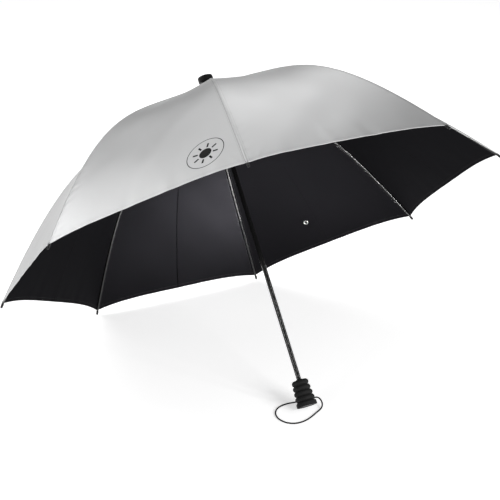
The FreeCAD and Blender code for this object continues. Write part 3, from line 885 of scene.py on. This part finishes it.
def make_seam(k):
    """Felled seam over rib k: a narrow ridge of folded fabric that covers where two gores meet."""
    start, end = CROWN_START - 0.0006, RIB_LENGTH - TIP_REACH + 0.0004
    length = np.linspace(start, end, SEAM_ROWS)[:, None]
    offset = np.array([-1.0, -0.94, -0.75, -0.45, -0.2, 0.0, 0.2, 0.45, 0.75, 0.94, 1.0])[None, :]
    radius = rib_at(length)[0]
    half = np.minimum(SEAM_HALF, 0.42 * radius * SIN_HALF)
    reach = np.abs(offset) * half
    wobble = 1 + 0.06 * np.sin(2 * math.pi * length / STITCH_PITCH)
    rise = SEAM_T * (1 - np.abs(offset) ** 6) * wobble
    before = (k - 2) % RIBS + 1
    grids = []
    for height in (FABRIC_OUT + 0.00004 + rise, FABRIC_OUT - 0.00012 + 0 * rise):
        across = 1 - reach / (radius * SIN_HALF)
        left = fabric(before, across, length + 0 * reach, height)
        right = fabric(k, -across, length + 0 * reach, height)
        grids.append(np.where((offset < 0)[..., None] * np.ones_like(left), left, right))
    top, bottom = grids
    du = np.gradient(top, axis=1)
    dl = np.gradient(top, axis=0)
    normal = np.cross(dl, du)
    normal /= np.linalg.norm(normal, axis=-1, keepdims=True) + 1e-12
    away = top[0, 5] - bottom[0, 5]
    if normal[0, 5] @ away < 0:
        normal = -normal
    uvs = {
        "cut": np.stack([offset * half, length + 0 * reach], -1),
        "edges": np.stack([SEAM_ROW - np.abs(reach - half * 0.6), FAR_FROM_RIM + 0 * reach], -1),
    }
    obj = slab(f"seam_{k}_felled", top, bottom, normal, -normal, uvs, [SILVER, LINING])
    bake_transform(obj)


for k in range(1, RIBS + 1):
    make_seam(k)

# ---------------------------------------------------------------- crown


PATCH_R = 0.0180
PATCH_HOLE_R = 0.0080
PATCH_T = 0.00034


def make_rosette():
    """Round patch of the canopy cloth under the end cap, which hides where the gores meet."""
    sides = 96
    radius = np.array([PATCH_HOLE_R, 0.0095, 0.0120, 0.0145, 0.0165, 0.0176, PATCH_R])[:, None]
    angle = np.linspace(0, 2 * math.pi, sides, endpoint=False)[None, :]
    wave = np.sin(RIBS * (angle - FIRST_RIB) + math.pi / 2) * smooth((radius - 0.012) / 0.006)
    wave = 0.00012 * wave
    height = CROWN_Z + FABRIC_OUT + 0.00062 - 0.333 * (radius - 0.009) + wave
    rings = []
    for lift in (PATCH_T, 0.0):
        flat = [radius * np.cos(angle), radius * np.sin(angle), height + lift]
        rings.append(place(np.stack(flat, -1)))
    top, bottom = rings
    verts = np.concatenate([top.reshape(-1, 3), bottom[::-1].reshape(-1, 3)])
    rows = 2 * len(radius)
    faces = []
    for i in range(rows):
        low, high = i * sides, (i + 1) % rows * sides
        for j in range(sides):
            n = (j + 1) % sides
            faces.append((low + j, high + j, high + n, low + n))
    obj = mesh_object("crown_rosette", verts, faces, [ROSETTE])
    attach(obj, "root")
    flat = (2 * PATCH_R, 2 * PATCH_R)


make_rosette()

# ---------------------------------------------------------------- rib fittings

THREAD_R = 0.00024
THREAD_PITCH = 0.00045
TIE_INNER_AT = 0.118
TIE_MIDDLE_AT = 0.350


def piece(name, shape, material, body):
    """A mesh piece that rides on a body."""
    obj = mesh_object(name, *shape, [material])
    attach(obj, body)
    return obj


def rounded(lengths, radius, soft=0.0006):
    """Radii along a sleeve whose two ends are rounded over."""
    near = np.minimum(lengths - lengths[0], lengths[-1] - lengths) / soft
    return radius - 0.0003 * (1 - np.sqrt(1 - (1 - np.clip(near, 0, 1)) ** 2))


def sleeve_lengths(low, high, count):
    """Lengths along a sleeve, close together at its rounded ends."""
    ends = np.array([0, 0.00005, 0.00018, 0.0004, 0.0007])
    middle = np.linspace(low + 0.0015, high - 0.0015, count)
    return np.concatenate([low + ends, middle, high - ends[::-1]])


def winding(k, length, radius, turns, pitch=THREAD_PITCH):
    """Path of a thread wound round rib k."""
    angle = np.linspace(0, 2 * math.pi * turns, int(20 * turns) + 1)
    along = length + pitch * (angle / (2 * math.pi) - turns / 2)
    return on_rib(k, along, radius * np.cos(angle), radius * np.sin(angle))


def sleeve(k, low, high, count):
    """Shape of a sleeve round rib k."""
    lengths = sleeve_lengths(low, high, count)
    return tube(on_rib(k, lengths), rounded(lengths, SLEEVE_R), 20)


def make_rib_fittings(k):
    """Sleeves on rib k, and the threads that tie the fabric to it and to its tip."""
    rib_end = f"rib_end_{k}"
    shape = sleeve(k, SLEEVE_START, RIB_LENGTH - TIP_LEN + 0.0006, 60)
    piece(f"rib_sleeve_{k}", shape, RUBBER, rib_end)

    shape = sleeve(k, SPLIT - 0.0034, SPLIT + 0.0060, 24)
    obj = mesh_object(f"rib_flex_sleeve_{k}", *shape, [RUBBER])
    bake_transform(obj)

    ties = (
        ("inner", TIE_INNER_AT, RIB_R + 0.00022, 4, f"rib_{k}"),
        ("middle", TIE_MIDDLE_AT, RIB_R + 0.00022, 4, rib_end),
        ("outer", SLEEVE_START + 0.0012, SLEEVE_R + 0.00018, 5, rib_end),
    )
    for label, length, radius, turns, body in ties:
        wound = tube(winding(k, length, radius, turns), THREAD_R, 8)
        piece(f"rib_tie_{label}_{k}", wound, THREAD, body)

    corner = RIB_LENGTH - TIP_REACH
    back = np.array([0.0045, 0.0020])
    aside = np.array([0.0022, 0.0014])
    height = FABRIC_OUT + 0.0001
    turns = winding(k, corner + 0.0032, TIP_R + 0.0002, 3, 0.0005)
    left = on_rib(k, corner - back, height, -aside)
    right = on_rib(k, corner - back[::-1], height, aside[::-1])
    stitched = tube(np.concatenate([left, turns, right]), THREAD_R, 8)
    piece(f"tip_thread_{k}", stitched, THREAD, rib_end)


for k in range(1, RIBS + 1):
    make_rib_fittings(k)

# ---------------------------------------------------------------- closing strap

STUD_GORE = 1
STUD_RIB = 2
STUD_ASIDE = 0.0230
STUD_ALONG = 0.4920
STRAP_W = 0.020


def on_gore(aside, length, height):
    """Points of the strap's gore, aside metres from its middle."""
    across = aside / (rib_at(length)[0] * SIN_HALF)
    return fabric(STUD_GORE, across, length, height)


def stud_point(aside, along, height):
    """One point near the stud, offset from its middle."""
    values = (STUD_ASIDE + aside, STUD_ALONG + along, height)
    return on_gore(*[np.array([[x]]) for x in values])[0, 0]


def on_stud(shape, height, inward):
    """A lathed shape set square on the fabric at the stud."""
    verts, faces = shape
    centre = stud_point(0, 0, height)
    across = stud_point(0.001, 0, height) - centre
    along = stud_point(0, 0.001, height) - centre
    across /= np.linalg.norm(across)
    normal = np.cross(along, across)
    normal /= np.linalg.norm(normal)
    if normal @ (UMBRELLA_R @ turn([1.0, 0, 0], rib_angle(STUD_GORE) + HALF)) < 0:
        normal = -normal
    if inward:
        normal = -normal
    frame_axes = np.array([across, np.cross(normal, across), normal])
    return centre + verts @ frame_axes, faces


def make_strap():
    """Short closing strap sewn into the hem outside, its stud, and the stud's ring inside.

    The stud's outlines are (radius, height) in millimetres.
    """
    low, high = STUD_ALONG - 0.012, RIB_LENGTH - TIP_REACH - SCALLOP - 0.001
    length = np.linspace(low, high, 40)[:, None]
    share = np.linspace(-1, 1, 15)[None, :]
    half = STRAP_W / 2 * np.sqrt(1 - np.clip(1 - (length - low + 0.0004) / (STRAP_W / 2), 0, 1) ** 2)
    aside = STUD_ASIDE + share * half
    length = length + 0 * aside
    lift = 0.00012 + 0.0009 * smooth((STUD_ALONG + 0.02 - length) / 0.03) * (1 - share**2 * 0.3)
    top = on_gore(aside, length, FABRIC_OUT + lift + 0.0007)
    bottom = on_gore(aside, length, FABRIC_OUT + lift)
    du, dl = np.gradient(top, axis=1), np.gradient(top, axis=0)
    normal = np.cross(dl, du)
    normal /= np.linalg.norm(normal, axis=-1, keepdims=True) + 1e-12
    if normal[20, 7] @ (top[20, 7] - bottom[20, 7]) < 0:
        normal = -normal
    stitched_in = 0.0025
    from_row = SEAM_ROW + stitched_in - half * (1 - np.abs(share))
    uvs = {
        "cut": np.stack([aside, length], -1),
        "edges": np.stack([from_row, FAR_FROM_RIM + 0 * aside], -1),
    }
    strap = slab("closing_strap", top, bottom, normal, -normal, uvs, [SILVER, LINING])
    ring = [(3.2, 0.0), (3.2, 0.9), (3.4, 1.3), (3.8, 1.55)]
    ring += [(4.2, 1.6), (4.6, 1.35), (4.9, 0.8), (5.0, 0.0)]
    # The cup fills the ring's middle with the black sleeve material: a dark piece standing in for the
    # shade in the stud's recess, painted shade.
    cup = [(0.03, 0.0), (0.03, 0.35), (1.2, 0.35), (2.4, 0.5), (3.2, 0.8), (3.3, 0.0)]
    dome = [(0.03, 0.0), (0.03, 1.9), (1.5, 1.85), (3.2, 1.6), (4.6, 1.1), (5.3, 0.5), (5.5, 0.0)]
    parts = {
        "press_stud_ring": (ring, FABRIC_IN, True, NICKEL),
        "press_stud_shade_cup": (cup, FABRIC_IN, True, RUBBER),
        "press_stud_cap": (dome, FABRIC_OUT + 0.0017, False, NICKEL),
    }
    made = [strap]
    for name, (profile, height, inward, material) in parts.items():
        shape = lathe([(r / 1000, z / 1000) for r, z in profile], 48)
        obj = mesh_object(name, *on_stud(shape, height, inward), [material])
        made.append(obj)
    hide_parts("press_stud")
    for obj in made:
        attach(obj, f"rib_end_{STUD_RIB}")
        gather(obj, STUD_RIB, -1, "outer")


make_strap()

# ---------------------------------------------------------------- grip


def arc(a, m, b, count):
    """Points of the circle arc from a through m to b."""
    a, m, b = (np.array(p) for p in (a, m, b))
    lines = np.array([m - a, b - a])
    centre = np.linalg.solve(2 * lines, [m @ m - a @ a, b @ b - a @ a])
    radius = np.linalg.norm(a - centre)
    low, mid, high = (math.atan2(*(p - centre)[::-1]) for p in (a, m, b))
    mid = (mid - low + math.pi) % (2 * math.pi) - math.pi
    high = (high - low + math.pi) % (2 * math.pi) - math.pi
    if mid * high < 0:
        high -= math.copysign(2 * math.pi, high)
    angles = low + np.linspace(0, high, count)
    return [tuple(centre + radius * np.array([math.cos(t), math.sin(t)])) for t in angles]


def grip_profile():
    """Outline of the ringed grip from the top edge down, round its foot and up the bore."""
    pitch = (GRIP_TOP - GRIP_BOTTOM) / GRIP_RINGS
    start = (GRIP_TOP_R - GROOVE_DEPTH, GRIP_TOP)
    points = []
    for i in range(GRIP_RINGS - 1):
        peak = GRIP_TOP_R + (GRIP_BOTTOM_R - GRIP_TOP_R) * i / (GRIP_RINGS - 1)
        end = (peak - GROOVE_DEPTH + 0.0006, GRIP_TOP - (i + 1) * pitch)
        points += arc(start, (peak, GRIP_TOP - (i + 0.5) * pitch), end, 22)[:-1]
        start = end
    shoulder = (GRIP_BOTTOM_R, GRIP_BOTTOM + 0.0044)
    points += arc(start, (GRIP_BOTTOM_R - 0.0006, GRIP_BOTTOM + 0.0075), shoulder, 16)
    points += [(GRIP_BOTTOM_R, GRIP_BOTTOM + h) for h in (0.0034, 0.0024, 0.0016)]
    edge = (GRIP_BOTTOM_R, GRIP_BOTTOM + 0.0010)
    rounding = (GRIP_BOTTOM_R - 0.0003, GRIP_BOTTOM + 0.0003)
    points += arc(edge, rounding, (GRIP_FOOT_R, GRIP_BOTTOM), 7)
    recess, deep = GRIP_RECESS
    points += [(r, GRIP_BOTTOM) for r in (0.0165, 0.0145, recess + 0.0003)]
    points += [(recess, GRIP_BOTTOM + 0.0004), (recess, GRIP_BOTTOM + deep)]
    points += [(GRIP_BORE, GRIP_BOTTOM + deep), (GRIP_BORE, GRIP_TOP)]
    points += [(GRIP_TOP_R - GROOVE_DEPTH - 0.002, GRIP_TOP)]
    return points


def make_grip():
    """Foam grip, with the small unevenness of moulded foam."""
    sides = 160
    verts, faces = lathe(grip_profile(), sides)
    angle = np.arctan2(verts[:, 1], verts[:, 0])
    radius = np.hypot(verts[:, 0], verts[:, 1])
    p = np.random.default_rng(5).uniform(0, 2 * math.pi, 6)
    z = verts[:, 2]
    uneven = np.sin(3 * angle + 160 * z + p[0])
    uneven += 0.7 * np.sin(5 * angle - 310 * z + p[1])
    uneven += 0.5 * np.sin(9 * angle + 540 * z + p[2])
    outer = smooth((radius - 0.0125) / 0.0015) * smooth((z - GRIP_BOTTOM - 0.0005) / 0.003)
    scale = 1 + 0.00007 * uneven * outer / np.maximum(radius, 1e-6)
    verts[:, :2] *= scale[:, None]
    obj = mesh_object("foam_grip_rings", place(verts), faces, [FOAM])
    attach(obj, "root")
    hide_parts("foam_grip")


make_grip()

# ---------------------------------------------------------------- finish

# CAD nodes that stay on show, by the start of their names.
NODE_MATERIALS = {
    ROD: ("rib_inner", "rib_outer"),
    ZINC: ("stretcher",),
    NYLON: ("rib_tip", "end_cap", "crown_notch", "runner", "grip_core"),
    ANODISED: ("shaft",),
    STEEL: ("notch_wire", "runner_wire", "open_catch", "closed_catch"),
}
for material, starts in NODE_MATERIALS.items():
    for name, node in frame["nodes"].items():
        if name.startswith(starts):
            node.data.materials.clear()
            node.data.materials.append(material)

floor = mesh_object(
    "floor",
    [(-20, -20, 0), (20, -20, 0), (20, 20, 0), (-20, 20, 0)],
    [(0, 1, 2, 3)],
    [studio_floor()],
)


def area_light(name, at, look_at, size, power):
    data = bpy.data.lights.new(name, "AREA")
    data.shape = "RECTANGLE"
    data.size, data.size_y = size
    data.energy = power
    obj = link(bpy.data.objects.new(name, data))
    obj.location = at
    obj.rotation_euler = (Vector(look_at) - Vector(at)).to_track_quat("-Z", "Y").to_euler()
    return obj


area_light("back_top", (0.5, 1.9, 2.2), (0, 0, 0.25), (2.0, 1.6), 24)
area_light("front_right", (0.8, -2.9, 1.4), (0, 0, 0.25), (1.4, 1.4), 70)
fill = area_light("under_fill", (0.40, -0.22, 0.15), (0.09, 0.35, 0.24), (0.25, 0.12), 2.0)
fill.data.spread = math.radians(42)
area_light("strip_left", (-2.2, -0.85, 1.05), (0, -0.1, 0.1), (0.10, 0.5), 5)
area_light("strip_right", (1.35, -1.55, 1.65), (0, -0.1, 0.1), (0.10, 0.5), 5)
area_light("back_left", (-1.6, 1.9, 1.8), (0, 0, 0.25), (1.4, 1.4), 27)

world = bpy.data.worlds.new("studio")
world.use_nodes = True
world.node_tree.nodes["Background"].inputs["Color"].default_value = (1, 1, 1, 1)
world.node_tree.nodes["Background"].inputs["Strength"].default_value = 0.20
bpy.context.scene.world = world
bpy.context.scene.view_settings.view_transform = "Standard"
